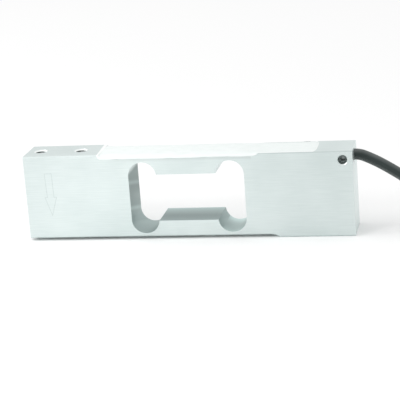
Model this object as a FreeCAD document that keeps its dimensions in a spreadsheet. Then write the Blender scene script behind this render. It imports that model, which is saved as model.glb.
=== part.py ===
import FreeCAD, Part
import math
import os
import Sketcher
from FreeCAD import Placement, Rotation, Vector

# Low profile single-point load cell: an aluminium bar with a four-lobed window. The window leaves
# four thin sections that bend under load, and strain gauges on the upper two sense the bending.
# Frame: +X along the bar towards the cable end, +Z up, origin at the middle of the footprint.

doc = FreeCAD.newDocument("load_cell")

# Driving sizes in millimetres: name, value and what it measures.
SIZES = (
    ("body_length", 150.0, "bar, end to end"),
    ("body_width", 20.0, "bar, front to back"),
    ("body_height", 40.0, "base pad to load pad"),
    ("load_pad_length", 35.5, "raised pad on top of the load end"),
    ("load_pad_step", 1.0, "load pad above the top of the fixed end"),
    ("base_pad_length", 34.2, "raised pad under the fixed end"),
    ("base_pad_step", 1.3, "underside above the base pad"),
    ("block_length", 41.6, "top of the fixed end, from the end face to the gauge recess"),
    ("recess_depth", 1.25, "gauge recess below the top of the fixed end"),
    ("recess_corner_radius", 2.0, "corner of the recess at the load pad"),
    ("runout_radius", 6.0, "cutter run-out at the ends of the recess and the underside"),
    ("flexure_thickness", 1.6, "thin sections above and below the lobes"),
    ("lobe_radius", 6.4, "lobes at the window's corners"),
    ("window_margin", 48.6, "end face to the window"),
    ("island_gap", 21.6, "lower island to upper island"),
    ("edge_chamfer", 0.5, "broken long edges"),
    ("mount_hole_diameter", 5.0, "tapping drill of the mounting holes"),
    ("mount_hole_bevel", 0.6, "countersink around the mounting holes"),
    ("mount_hole_depth", 15.0, "full depth of the mounting holes"),
    ("mount_hole_spacing", 19.05, "hole to hole on each pad"),
    ("mount_hole_margin", 6.0, "end face to the first hole"),
    ("pocket_reach", 3.9, "wiring pocket into the gauge recess"),
    ("pocket_floor_gap", 0.5, "cable above the wiring pocket's floor"),
    ("pocket_wall", 1.2, "side walls of the wiring pocket"),
    ("pocket_end_wall", 16.5, "metal between the pocket and the end face"),
    ("pocket_corner_radius", 3.0, "upright corners of the wiring pocket"),
    ("cable_diameter", 5.0, "signal cable over its jacket"),
    ("cable_clearance", 0.1, "cable to bore, all round"),
    ("cable_cover", 1.4, "metal above the cable bore"),
    ("jacket_stub", 3.0, "jacket standing into the wiring pocket"),
    ("clamp_diameter", 4.0, "set screw hole"),
    ("clamp_bevel", 0.35, "countersink around the set screw hole"),
    ("clamp_clearance", 0.05, "set screw to its hole and to the jacket"),
    ("clamp_inset", 4.5, "set screw axis from the end face"),
    ("clamp_length", 5.0, "set screw"),
    ("clamp_socket", 2.0, "hexagon across flats"),
    ("clamp_socket_depth", 2.0, "hexagon depth"),
    ("clamp_point", 0.8, "bevel at the set screw's point"),
    ("film_length", 9.0, "strain gauge carrier along the bar"),
    ("film_width", 8.0, "strain gauge carrier across the bar"),
    ("film_thickness", 0.1, "strain gauge carrier"),
    ("grid_length", 5.0, "foil grid along the bar"),
    ("grid_width", 2.7, "foil grid across the bar"),
    ("grid_thickness", 0.05, "foil grid"),
    ("grid_offset", 1.9, "grid axis from the gauge's middle"),
    ("grid_slot", 0.3, "slot between two strands"),
    ("grid_turn", 0.5, "end loop of a strand"),
    ("tab_length", 1.5, "solder tab along the bar"),
    ("tab_width", 0.9, "solder tab across the bar"),
    ("strip_length", 3.6, "terminal strip along the bar"),
    ("strip_width", 8.0, "terminal strip across the bar"),
    ("strip_thickness", 0.5, "terminal strip"),
    ("strip_gap", 0.6, "gauge carrier to terminal strip"),
    ("board_width", 14.0, "bridge board across the bar"),
    ("board_thickness", 1.0, "bridge board"),
    ("board_margin", 2.5, "recess end of the pocket to the board"),
    ("resistor_length", 3.2, "trim resistor along the bar"),
    ("resistor_width", 1.6, "trim resistor across the bar"),
    ("resistor_height", 0.6, "trim resistor"),
    ("resistor_pitch", 4.0, "resistor to resistor"),
    ("ribbon_width", 2.4, "flat bridge ribbon across"),
    ("ribbon_thickness", 0.15, "flat bridge ribbon"),
    ("ribbon_straight", 2.0, "ribbon straight out of its strip"),
    ("ribbon_swing", 5.0, "length in which the load end's ribbon swings aside"),
    ("ribbon_margin", 0.4, "gauge to the ribbon that passes it"),
    ("ribbon_landing", 1.0, "ribbon on the board, from the board's edge"),
    ("core_diameter", 1.0, "insulated core of the cable"),
    ("drain_diameter", 0.6, "bare drain wire of the cable"),
    ("core_ring_radius", 1.4, "cores about the cable's axis"),
    ("core_fan", 10.5, "jacket to the board"),
    ("core_landing", 2.0, "core over the board"),
    ("core_pitch", 2.4, "core to core on the board"),
    ("core_gap", 0.15, "cores to the jacket, the sleeve and the board"),
    ("seal_edge", 1.1, "silicone along the bar's long edges"),
    ("seal_crown_load", 2.1, "silicone over the recess floor beside the load pad"),
    ("seal_crown_fixed", 1.4, "silicone over the recess floor at the fixed end"),
    ("seal_sink", 0.15, "silicone in the pocket below the top of the fixed end"),
    ("coil_inner_radius", 12.5, "round ends of the flat coil, inside"),
    ("coil_straight", 32.0, "straight sides of the flat coil"),
    ("coil_columns", 2.0, "turns side by side in the coil"),
    ("coil_layers", 2.0, "turns on top of each other in the coil"),
    ("entry_margin", 1.0, "cable between its last bend and the coil"),
    ("coil_tuck", 0.3, "first and last turn inside the coil's outline"),
    ("tail_margin", 3.0, "cable between the coil and the sleeve"),
    ("tie_width", 4.0, "tie around the coil"),
    ("tie_thickness", 1.0, "tie around the coil"),
    ("tie_squeeze", 0.6, "how far the tie pulls the turns in"),
    ("sleeve_diameter", 5.6, "shrunk sleeve on the cable's end"),
    ("sleeve_length", 12.0, "shrunk sleeve on the cable's end"),
    ("lead_length", 18.0, "insulated lead past the sleeve"),
    ("lead_spread", 1.6, "how far each lead fans out from the next"),
    ("tip_length", 5.0, "tinned end of a lead"),
    ("tip_diameter", 0.7, "tinned end of a lead"),
)
sheet = doc.addObject("Spreadsheet::Sheet", "sizes")
for row, (alias, size, meaning) in enumerate(SIZES, start=1):
    sheet.set(f"A{row}", alias)
    sheet.set(f"B{row}", str(size))
    sheet.set(f"C{row}", meaning)
    sheet.setAlias(f"B{row}", alias)
doc.recompute()

# Levels and places that follow from the driving sizes, as expressions on the sheet.
HALF_LENGTH = "sizes.body_length / 2"
HALF_WIDTH = "sizes.body_width / 2"
BLOCK_TOP = "(sizes.body_height - sizes.load_pad_step)"
RECESS_FLOOR = f"({BLOCK_TOP} - sizes.recess_depth)"
RECESS_START = f"(sizes.load_pad_length - {HALF_LENGTH})"
RECESS_END = f"({HALF_LENGTH} - sizes.block_length)"
RECESS_CORNER = "min(sizes.recess_corner_radius; 0.95 * (sizes.load_pad_step + sizes.recess_depth))"
RECESS_RUNOUT = "sqrt(2 * sizes.runout_radius * sizes.recess_depth - sizes.recess_depth ^ 2)"
BASE_RUNOUT = "sqrt(2 * sizes.runout_radius * sizes.base_pad_step - sizes.base_pad_step ^ 2)"
BASE_START = f"({HALF_LENGTH} - sizes.base_pad_length)"
LOBE_X = f"({HALF_LENGTH} - sizes.window_margin - sizes.lobe_radius)"
LOBE_LOW = "(sizes.base_pad_step + sizes.flexure_thickness + sizes.lobe_radius)"
LOBE_HIGH = f"({RECESS_FLOOR} - sizes.flexure_thickness - sizes.lobe_radius)"
WINDOW_MIDDLE = f"(({LOBE_LOW} + {LOBE_HIGH}) / 2)"
ISLAND_LOW = f"({WINDOW_MIDDLE} - sizes.island_gap / 2)"
ISLAND_HIGH = f"({WINDOW_MIDDLE} + sizes.island_gap / 2)"
ISLAND_REACH = f"sqrt(sizes.lobe_radius ^ 2 - ({LOBE_LOW} - {ISLAND_LOW}) ^ 2)"
CABLE_BORE = "(sizes.cable_diameter + 2 * sizes.cable_clearance)"
CABLE_HEIGHT = f"({BLOCK_TOP} - sizes.cable_cover - {CABLE_BORE} / 2)"
POCKET_START = f"({RECESS_END} - sizes.pocket_reach)"
POCKET_END = f"({HALF_LENGTH} - sizes.pocket_end_wall)"
POCKET_HALF_WIDTH = f"({HALF_WIDTH} - sizes.pocket_wall)"
POCKET_FLOOR = f"({CABLE_HEIGHT} - sizes.cable_diameter / 2 - sizes.pocket_floor_gap)"
JACKET_END = f"({POCKET_END} - sizes.jacket_stub)"
BOARD_START = f"({POCKET_START} + sizes.board_margin)"
BOARD_END = f"({JACKET_END} - sizes.core_fan)"
BOARD_TOP = f"({POCKET_FLOOR} + sizes.board_thickness)"


def value(expression):
    """Number that an expression on the sheet gives now."""
    return float(sheet.evalExpression(expression))


def bind(feature, **expressions):
    """Tie properties of a feature to the sheet; a double underscore stands for a dot."""
    for name, expression in expressions.items():
        feature.setExpression(name.replace("__", "."), expression)


def place(piece, x="0", y="0", z="0"):
    """Tie a piece's place to the sheet."""
    bind(piece, Placement__Base__x=x, Placement__Base__y=y, Placement__Base__z=z)


def sketch_on(body, name, role, offset="0"):
    """Sketch on one of the body's origin planes, moved along the plane's normal."""
    sketch = body.newObject("Sketcher::SketchObject", name)
    plane = next(feature for feature in body.Origin.OriginFeatures if feature.Role == role)
    sketch.AttachmentSupport = (plane, [""])
    sketch.MapMode = "FlatFace"
    bind(sketch, AttachmentOffset__Base__z=offset)
    return sketch


def dimension(sketch, kind, *place_and_size):
    """Dimensional constraint whose last argument is an expression on the sheet."""
    *where, expression = place_and_size
    index = sketch.addConstraint(Sketcher.Constraint(kind, *where, value(expression)))
    sketch.setExpression(f"Constraints[{index}]", expression)


def arc_between(start, end, radius):
    """Minor arc of a circle that runs anticlockwise from start to end."""
    chord = end - start
    rise = math.sqrt(radius ** 2 - chord.Length ** 2 / 4)
    centre = (start + end) / 2 + Vector(-chord.y, chord.x, 0).normalize() * rise
    first = math.atan2(start.y - centre.y, start.x - centre.x)
    last = math.atan2(end.y - centre.y, end.x - centre.x)
    return Part.ArcOfCircle(Part.Circle(centre, Vector(0, 0, 1), radius), first, last)


def outline(sketch, corners):
    """Closed anticlockwise outline. A corner is (x, y), or (x, y, radius) where an arc leaves it,
    and all are expressions on the sheet."""
    points = [Vector(value(x), value(y), 0) for x, y, *_ in corners]
    sides = []
    for start, end, (_, _, *radius) in zip(points, points[1:] + points[:1], corners):
        side_shape = arc_between(start, end, value(*radius)) if radius else Part.LineSegment(start, end)
        sides.append(sketch.addGeometry(side_shape))
    for before, here, (x, y, *radius) in zip(sides[-1:] + sides, sides, corners):
        sketch.addConstraint(Sketcher.Constraint("Coincident", before, 2, here, 1))
        dimension(sketch, "DistanceX", -1, 1, here, 1, x)
        dimension(sketch, "DistanceY", -1, 1, here, 1, y)
        if radius:
            dimension(sketch, "Radius", here, *radius)


def rectangle(sketch, left, bottom, right, top):
    """Closed rectangle between four expressions."""
    outline(sketch, [(left, bottom), (right, bottom), (right, top), (left, top)])


def circle(sketch, x, y, diameter):
    """Circle placed and sized by expressions."""
    centre = Vector(value(x), value(y), 0)
    geometry = sketch.addGeometry(Part.Circle(centre, Vector(0, 0, 1), value(diameter) / 2))
    dimension(sketch, "DistanceX", -1, 1, geometry, 3, x)
    dimension(sketch, "DistanceY", -1, 1, geometry, 3, y)
    dimension(sketch, "Diameter", geometry, diameter)


def pad(body, name, sketch, length, midplane=False):
    """Raise a sketch into the solid."""
    feature = body.newObject("PartDesign::Pad", name)
    feature.Profile = sketch
    feature.Midplane = midplane
    bind(feature, Length=length)


def pocket(body, name, sketch, depth=None):
    """Cut a sketch into the solid, right through on both sides where no depth is given."""
    feature = body.newObject("PartDesign::Pocket", name)
    feature.Profile = sketch
    if depth is None:
        feature.Type = "ThroughAll"
        feature.Midplane = True
    else:
        bind(feature, Length=depth)


def break_edges(body, name, wanted, size):
    """Chamfer the body's edges that answer a description."""
    base = body.Tip
    edges = [f"Edge{i}" for i, edge in enumerate(base.Shape.Edges, start=1) if wanted(edge)]
    feature = body.newObject("PartDesign::Chamfer", name)
    feature.Base = (base, edges)
    bind(feature, Size=size)


def new_body(name):
    """Body that is one sub-part, labelled with its node's name."""
    return doc.addObject("PartDesign::Body", name)


def box(name, length, width, height, x="0", y="0", z="0"):
    """Box whose sizes and middle of the underside are expressions."""
    piece = doc.addObject("Part::Box", name)
    bind(piece, Length=length, Width=width, Height=height)
    place(piece, f"({x}) - ({length}) / 2", f"({y}) - ({width}) / 2", z)
    return piece


def group(name, pieces):
    """Several separate solids that share one node."""
    piece = doc.addObject("Part::Compound", name)
    piece.Links = pieces
    return piece


def feature_of(name, shape):
    """Sub-part whose shape is worked out here."""
    piece = doc.addObject("Part::Feature", name)
    piece.Shape = shape
    piece.Placement = Placement()
    return piece


# Spring body: the bar, its pads, the gauge recess and the window, milled from the side.
spring_body = new_body("spring_body")
blank = sketch_on(spring_body, "blank_outline", "XZ_Plane")
rectangle(blank, f"-{HALF_LENGTH}", "0", HALF_LENGTH, "sizes.body_height")
pad(spring_body, "blank", blank, "sizes.body_width", midplane=True)

underside = sketch_on(spring_body, "underside_outline", "XZ_Plane")
outline(underside, [
    (f"-{HALF_LENGTH}", "0"),
    (BASE_START, "0", "sizes.runout_radius"),
    (f"{BASE_START} - {BASE_RUNOUT}", "sizes.base_pad_step"),
    (f"-{HALF_LENGTH}", "sizes.base_pad_step"),
])
pocket(spring_body, "underside_relief", underside)

recess = sketch_on(spring_body, "recess_outline", "XZ_Plane")
outline(recess, [
    (RECESS_START, "sizes.body_height"),
    (RECESS_START, f"{RECESS_FLOOR} + {RECESS_CORNER}", RECESS_CORNER),
    (f"{RECESS_START} + {RECESS_CORNER}", RECESS_FLOOR),
    (f"{RECESS_END} - {RECESS_RUNOUT}", RECESS_FLOOR, "sizes.runout_radius"),
    (RECESS_END, BLOCK_TOP),
    (HALF_LENGTH, BLOCK_TOP),
    (HALF_LENGTH, "sizes.body_height"),
])
pocket(spring_body, "gauge_recess", recess)

# Window: each lobe runs from the end wall past the thinnest section to an island's corner.
window = sketch_on(spring_body, "window_outline", "XZ_Plane")
lobe = "sizes.lobe_radius"
outline(window, [
    (f"-{LOBE_X} - {lobe}", LOBE_HIGH),
    (f"-{LOBE_X} - {lobe}", LOBE_LOW, lobe),
    (f"-{LOBE_X}", f"{LOBE_LOW} - {lobe}", lobe),
    (f"-{LOBE_X} + {ISLAND_REACH}", ISLAND_LOW),
    (f"{LOBE_X} - {ISLAND_REACH}", ISLAND_LOW, lobe),
    (LOBE_X, f"{LOBE_LOW} - {lobe}", lobe),
    (f"{LOBE_X} + {lobe}", LOBE_LOW),
    (f"{LOBE_X} + {lobe}", LOBE_HIGH, lobe),
    (LOBE_X, f"{LOBE_HIGH} + {lobe}", lobe),
    (f"{LOBE_X} - {ISLAND_REACH}", ISLAND_HIGH),
    (f"-{LOBE_X} + {ISLAND_REACH}", ISLAND_HIGH, lobe),
    (f"-{LOBE_X}", f"{LOBE_HIGH} + {lobe}", lobe),
])
pocket(spring_body, "window", window)
doc.recompute()

# Broken long edges of the pads, the fixed end's top and the underside.
top_level = value(BLOCK_TOP)
low_level = value("sizes.base_pad_step")
side = value(HALF_WIDTH)
SAME = 1e-4


def is_long_edge(edge):
    """An edge of the bar's long sides that lies in the top or the underside."""
    on_side = all(abs(abs(vertex.Y) - side) < SAME for vertex in edge.Vertexes)
    heights = [vertex.Z for vertex in edge.Vertexes]
    upright = abs(edge.Vertexes[0].X - edge.Vertexes[-1].X) < SAME
    on_level = min(heights) > top_level - SAME or max(heights) < low_level + SAME
    return on_side and on_level and not upright


break_edges(spring_body, "broken_edges", is_long_edge, "sizes.edge_chamfer")
doc.recompute()

# Tapped holes: two in the load pad from above and two in the base pad from below.
for name, level, reverse, sign in (("load_holes", "sizes.body_height", False, "-"), ("base_holes", "0", True, "")):
    centres = sketch_on(spring_body, f"{name}_centres", "XY_Plane", level)
    first = f"{sign}({HALF_LENGTH} - sizes.mount_hole_margin)"
    second = f"{sign}({HALF_LENGTH} - sizes.mount_hole_margin - sizes.mount_hole_spacing)"
    circle(centres, first, "0", "sizes.mount_hole_diameter")
    circle(centres, second, "0", "sizes.mount_hole_diameter")
    doc.recompute()
    hole = spring_body.newObject("PartDesign::Hole", name)
    hole.Profile = centres
    hole.ThreadType = "None"
    hole.DepthType = "Dimension"
    hole.DrillPoint = "Angled"
    hole.HoleCutType = "Countersink"
    hole.Reversed = reverse
    bind(hole, Diameter="sizes.mount_hole_diameter", Depth="sizes.mount_hole_depth")
    bind(hole, HoleCutDiameter="sizes.mount_hole_diameter + 2 * sizes.mount_hole_bevel")
    doc.recompute()

# Wiring pocket in the fixed end's top, the cable's bore from the end face and the clamp screw's hole.
plan = sketch_on(spring_body, "pocket_outline", "XY_Plane", BLOCK_TOP)
corner = "sizes.pocket_corner_radius"
outline(plan, [
    (POCKET_START, f"-{POCKET_HALF_WIDTH}"),
    (f"{POCKET_END} - {corner}", f"-{POCKET_HALF_WIDTH}", corner),
    (POCKET_END, f"-{POCKET_HALF_WIDTH} + {corner}"),
    (POCKET_END, f"{POCKET_HALF_WIDTH} - {corner}", corner),
    (f"{POCKET_END} - {corner}", POCKET_HALF_WIDTH),
    (POCKET_START, POCKET_HALF_WIDTH),
])
pocket(spring_body, "wiring_pocket", plan, f"{BLOCK_TOP} - {POCKET_FLOOR}")

bore = sketch_on(spring_body, "bore_outline", "YZ_Plane", HALF_LENGTH)
circle(bore, "0", CABLE_HEIGHT, CABLE_BORE)
pocket(spring_body, "cable_bore", bore, "sizes.pocket_end_wall")

screw_hole = sketch_on(spring_body, "clamp_outline", "XZ_Plane", HALF_WIDTH)
circle(screw_hole, f"{HALF_LENGTH} - sizes.clamp_inset", CABLE_HEIGHT, "sizes.clamp_diameter")
pocket(spring_body, "clamp_hole", screw_hole, HALF_WIDTH)
doc.recompute()


def is_clamp_rim(edge):
    """The rim of the clamp screw's hole, the only closed edge in the front face."""
    return len(edge.Vertexes) == 1 and abs(edge.Vertexes[0].Y + side) < SAME


break_edges(spring_body, "clamp_mouth", is_clamp_rim, "sizes.clamp_bevel")
doc.recompute()


# Clamp screw: a socket set screw from the front, its point against the cable's jacket.
def is_point_rim(edge):
    """The rim of the set screw's inner end."""
    return len(edge.Vertexes) == 1 and abs(edge.Vertexes[0].Y) < SAME


clamp_screw = new_body("clamp_screw")
shank = sketch_on(clamp_screw, "shank_outline", "XZ_Plane")
circle(shank, "0", "0", "sizes.clamp_diameter - 2 * sizes.clamp_clearance")
pad(clamp_screw, "shank", shank, "sizes.clamp_length")
socket = sketch_on(clamp_screw, "socket_outline", "XZ_Plane", "sizes.clamp_length")
across_corners = "sizes.clamp_socket / sqrt(3)"
outline(socket, [(f"{across_corners} * cos({60 * i} deg)", f"{across_corners} * sin({60 * i} deg)")
                 for i in range(6)])
pocket(clamp_screw, "socket", socket, "sizes.clamp_socket_depth")
doc.recompute()
break_edges(clamp_screw, "point", is_point_rim, "sizes.clamp_point")
place(clamp_screw, f"{HALF_LENGTH} - sizes.clamp_inset",
      "-sizes.cable_diameter / 2 - sizes.clamp_clearance", CABLE_HEIGHT)

# Strain gauges: a twin-grid gauge over each upper thin section, with a solder strip beside it.
# Each foil grid is a plate slotted from both ends in turn, which leaves one winding strand.
GRID_SLOTS = 5
GRID_PITCH = f"((sizes.grid_width - sizes.grid_slot) / {GRID_SLOTS})"
FILM_TOP = f"({RECESS_FLOOR} + sizes.film_thickness)"


def foil_grid(name):
    """One winding foil grid with its two solder tabs, centred on its own origin."""
    body = new_body(name)
    half_length = "sizes.grid_length / 2"
    half_width = "sizes.grid_width / 2"
    tab_end = f"{half_length} + sizes.tab_length"
    plate = sketch_on(body, f"{name}_plate", "XY_Plane")
    outline(plate, [
        (f"-{half_length}", f"-{half_width}"),
        (tab_end, f"-{half_width}"),
        (tab_end, f"sizes.tab_width - {half_width}"),
        (half_length, f"sizes.tab_width - {half_width}"),
        (half_length, f"{half_width} - sizes.tab_width"),
        (tab_end, f"{half_width} - sizes.tab_width"),
        (tab_end, half_width),
        (f"-{half_length}", half_width),
    ])
    pad(body, f"{name}_foil", plate, "sizes.grid_thickness")
    slots = sketch_on(body, f"{name}_slots", "XY_Plane")
    lows = [f"{GRID_PITCH} * {i + 0.5} - {half_width}" for i in range(GRID_SLOTS)]
    for i, low in enumerate(lows):
        far_loop = i % 2 == 0
        start = f"sizes.grid_turn - {half_length}" if far_loop else f"-{half_length} - sizes.grid_turn"
        end = half_length if far_loop else f"{half_length} - sizes.grid_turn"
        rectangle(slots, start, low, end, f"{low} + sizes.grid_slot")
    pocket(body, f"{name}_slot_cut", slots)
    neck = sketch_on(body, f"{name}_neck", "XY_Plane")
    rectangle(neck, half_length, lows[0], f"{half_length} + sizes.grid_slot", f"{lows[-1]} + sizes.grid_slot")
    pocket(body, f"{name}_neck_cut", neck)
    return body


embedded = []
strip_ends = []
for end, sign in (("load", "-"), ("fixed", "")):
    middle = f"{sign}{LOBE_X}"
    film = box(f"gauge_film_{end}", "sizes.film_length", "sizes.film_width", "sizes.film_thickness",
               middle, "0", RECESS_FLOOR)
    grids = []
    for row_name, row_sign in (("front", "-"), ("rear", "")):
        grid = foil_grid(f"{end}_{row_name}_grid")
        place(grid, f"{middle} - sizes.tab_length / 2", f"{row_sign}sizes.grid_offset", FILM_TOP)
        grids.append(grid)
    strip_start = f"{middle} + sizes.film_length / 2 + sizes.strip_gap"
    strip_ends.append(f"{strip_start} + sizes.strip_length")
    strip = box(f"terminal_strip_{end}", "sizes.strip_length", "sizes.strip_width", "sizes.strip_thickness",
                f"{strip_start} + sizes.strip_length / 2", "0", RECESS_FLOOR)
    embedded += [film, group(f"gauge_grids_{end}", grids), strip]

# Bridge board on the pocket's floor, with a row of trim resistors.
BOARD_X = f"({BOARD_START} + {BOARD_END}) / 2"
bridge_board = box("bridge_board", f"{BOARD_END} - {BOARD_START}", "sizes.board_width", "sizes.board_thickness",
                   BOARD_X, "0", POCKET_FLOOR)
resistors = []
for name, row in (("front", -1), ("middle", 0), ("rear", 1)):
    resistors.append(box(f"resistor_{name}", "sizes.resistor_length", "sizes.resistor_width",
                         "sizes.resistor_height", BOARD_X, f"{row} * sizes.resistor_pitch", BOARD_TOP))
embedded += [bridge_board, group("trim_resistors", resistors)]
doc.recompute()

# Bridge ribbons: flat flexible strips on the recess floor that drop to the board. The load end's
# ribbon passes beside the fixed end's gauge.
RIBBON_END = f"({BOARD_START} + sizes.ribbon_landing)"
RIBBON_HALF = "sizes.ribbon_width / 2"
RIBBON_SIDE = "(sizes.film_width / 2 + sizes.ribbon_margin)"


def bridge_ribbon(name, plan_corners, near, far):
    """Ribbon with a plan outline on the recess floor and a drop to the board between two sides."""
    body = new_body(name)
    plan_sketch = sketch_on(body, f"{name}_plan", "XY_Plane", RECESS_FLOOR)
    outline(plan_sketch, plan_corners)
    pad(body, f"{name}_run", plan_sketch, "sizes.ribbon_thickness")
    drop = sketch_on(body, f"{name}_foot", "XY_Plane", BOARD_TOP)
    rectangle(drop, f"{RIBBON_END} - sizes.ribbon_thickness", near, RIBBON_END, far)
    pad(body, f"{name}_drop", drop, f"{RECESS_FLOOR} + sizes.ribbon_thickness - {BOARD_TOP}")
    return body


load_strip_end, fixed_strip_end = strip_ends
swing_start = f"{load_strip_end} + sizes.ribbon_straight"
swing_end = f"{swing_start} + sizes.ribbon_swing"
load_ribbon = bridge_ribbon("load_ribbon", [
    (load_strip_end, f"-{RIBBON_HALF}"),
    (swing_start, f"-{RIBBON_HALF}"),
    (swing_end, f"-{RIBBON_SIDE} - sizes.ribbon_width"),
    (RIBBON_END, f"-{RIBBON_SIDE} - sizes.ribbon_width"),
    (RIBBON_END, f"-{RIBBON_SIDE}"),
    (swing_end, f"-{RIBBON_SIDE}"),
    (swing_start, RIBBON_HALF),
    (load_strip_end, RIBBON_HALF),
], f"-{RIBBON_SIDE} - sizes.ribbon_width", f"-{RIBBON_SIDE}")
fixed_ribbon = bridge_ribbon("fixed_ribbon", [
    (fixed_strip_end, f"-{RIBBON_HALF}"),
    (RIBBON_END, f"-{RIBBON_HALF}"),
    (RIBBON_END, RIBBON_HALF),
    (fixed_strip_end, RIBBON_HALF),
], f"-{RIBBON_HALF}", RIBBON_HALF)
embedded += [load_ribbon, fixed_ribbon]

# Cable: the jacket held in the bore, and its cores fanned out to the board.
cable_in_bore = doc.addObject("Part::Cylinder", "cable_in_bore")
bind(cable_in_bore, Radius="sizes.cable_diameter / 2", Height=f"{HALF_LENGTH} - {JACKET_END}")
cable_in_bore.Placement.Rotation = Rotation(Vector(0, 1, 0), 90)
place(cable_in_bore, JACKET_END, "0", CABLE_HEIGHT)

# The cores' places in the cable as angles about its axis, in order from one side to the other.
UP = Vector(0, 0, 1)
BUNDLE = (162, 234, 90, 306, 18)
LANES = (-2, -1, 0, 1, 2)
CORES = ("core_red", "core_black", "drain_wire", "core_green", "core_white")
core_ring = value("sizes.core_ring_radius")
core_gap = value("sizes.core_gap")


def core_size(name):
    """Size of a core or lead on the sheet; the drain wire is bare."""
    return "sizes.drain_diameter" if "drain" in name else "sizes.core_diameter"


def in_bundle(angle, across):
    """Offset of a core from the cable's axis."""
    turned = math.radians(angle)
    return across * (core_ring * math.cos(turned)) + UP * (core_ring * math.sin(turned))


def straight(name, diameter, length, start, heading):
    """Straight round stretch; its diameter and length are expressions."""
    stretch = doc.addObject("Part::Cylinder", name)
    bind(stretch, Radius=f"{diameter} / 2", Height=length)
    stretch.Placement = Placement(start, Rotation(UP, heading))
    return stretch


jacket_middle = Vector(value(JACKET_END) - core_gap, 0, value(CABLE_HEIGHT))
for name, angle, lane in zip(CORES, BUNDLE, LANES):
    start = jacket_middle + in_bundle(angle, Vector(0, 1, 0))
    over_board = value(BOARD_TOP) + core_gap + value(core_size(name)) / 2
    end = Vector(value(BOARD_END) - value("sizes.core_landing"), lane * value("sizes.core_pitch"), over_board)
    embedded.append(straight(name, core_size(name), str((end - start).Length), start, end - start))
doc.recompute()

# Silicone seal: a domed coat over the gauges that runs on into the wiring pocket and fills it.
# It is cast against the bar and around the wired pieces, so those shape its underside.
seal_dome = new_body("seal_dome")
dome_foot = f"{RECESS_FLOOR} - sizes.flexure_thickness / 2"
dome_edge = f"{RECESS_FLOOR} + sizes.seal_edge"
sections = []
for name, offset, crown in (("dome_load", RECESS_START, "sizes.seal_crown_load"),
                            ("dome_fixed", RECESS_END, "sizes.seal_crown_fixed")):
    section = sketch_on(seal_dome, name, "YZ_Plane", offset)
    rise = f"({crown} - sizes.seal_edge)"
    dome_radius = f"(({HALF_WIDTH}) ^ 2 + {rise} ^ 2) / (2 * {rise})"
    outline(section, [
        (f"-{HALF_WIDTH}", dome_foot),
        (HALF_WIDTH, dome_foot),
        (HALF_WIDTH, dome_edge, dome_radius),
        (f"-{HALF_WIDTH}", dome_edge),
    ])
    sections.append(section)
loft = seal_dome.newObject("PartDesign::AdditiveLoft", "dome")
loft.Profile = sections[0]
loft.Sections = sections[1:]
loft.Ruled = True
pocket_fill = box("pocket_fill", f"{POCKET_END} - {POCKET_START}", f"2 * {POCKET_HALF_WIDTH}",
                  f"{BLOCK_TOP} - sizes.seal_sink - {POCKET_FLOOR}",
                  f"({POCKET_START} + {POCKET_END}) / 2", "0", POCKET_FLOOR)
seal_blank = doc.addObject("Part::Fuse", "seal_blank")
seal_blank.Base = seal_dome
seal_blank.Tool = pocket_fill
seal_on_bar = doc.addObject("Part::Cut", "seal_on_bar")
seal_on_bar.Base = seal_blank
seal_on_bar.Tool = spring_body
silicone_seal = doc.addObject("Part::Cut", "silicone_seal")
silicone_seal.Base = seal_on_bar
silicone_seal.Tool = group("sealed_in", embedded + [cable_in_bore])
doc.recompute()

# Free cable: out of the bore, down to the coil's upper turns. The route's points are chosen by hand.
COIL_WIDTH = "(sizes.coil_columns * sizes.cable_diameter)"
COIL_HEIGHT = "(sizes.coil_layers * sizes.cable_diameter)"
COIL_OUTER = f"(sizes.coil_inner_radius + {COIL_WIDTH})"
UPPER_TURN = f"({COIL_HEIGHT} - sizes.cable_diameter / 2 - sizes.coil_tuck)"
OUTER_TURN = f"({COIL_OUTER} - sizes.cable_diameter / 2 - sizes.coil_tuck)"
ARC_SHARE = 0.45
cable = value("sizes.cable_diameter")
cable_height = value(CABLE_HEIGHT)
end_face = value(HALF_LENGTH)
upper_turn = value(UPPER_TURN)
LEAD_ROUTE = [
    Vector(end_face, 0.0, cable_height),
    Vector(end_face + 2.2, 0.0, cable_height),
    Vector(end_face + 5.8, -0.05, cable_height - 1.4),
    Vector(end_face + 12.2, -0.3, cable_height - 4.6),
    Vector(end_face + 23.8, -1.4, cable_height - 11.8),
    Vector(end_face + 35.5, -4.0, cable_height - 20.6),
    Vector(end_face + 45.5, -6.8, upper_turn + 1.5),
    Vector(end_face + 55.0, -9.0, upper_turn),
    Vector(end_face + 64.0, -9.0, upper_turn),
]


def bent_path(points):
    """Straight runs joined by tangent arcs, as wide as the shorter run allows, and the arcs' radii."""
    edges, radii = [], []
    start = points[0]
    for before, here, after in zip(points, points[1:], points[2:]):
        back, ahead = before - here, after - here
        half_turn = (math.pi - back.getAngle(ahead)) / 2
        reach = ARC_SHARE * min(back.Length, ahead.Length)
        radius = reach / math.tan(half_turn)
        first = here + back.normalize() * reach
        last = here + ahead.normalize() * reach
        middle = here + (back + ahead).normalize() * (radius / math.cos(half_turn) - radius)
        edges.append(Part.LineSegment(start, first).toShape())
        edges.append(Part.Arc(first, middle, last).toShape())
        radii.append(radius)
        start = last
    edges.append(Part.LineSegment(start, points[-1]).toShape())
    return Part.Wire(edges), radii


lead_path, lead_radii = bent_path(LEAD_ROUTE)
rim = Part.Wire(Part.makeCircle(cable / 2, LEAD_ROUTE[0], LEAD_ROUTE[1] - LEAD_ROUTE[0]))
cable_lead = feature_of("cable_lead", lead_path.makePipeShell([rim], True, False))
expected = math.pi * cable ** 2 / 4 * lead_path.Length
if abs(cable_lead.Shape.Volume / expected - 1) > 0.01:
    raise ValueError(f"cable volume {cable_lead.Shape.Volume:.1f} against {expected:.1f}")
print("cable lead", round(lead_path.Length, 1), "mm, radii", [round(radius, 1) for radius in lead_radii])

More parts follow.
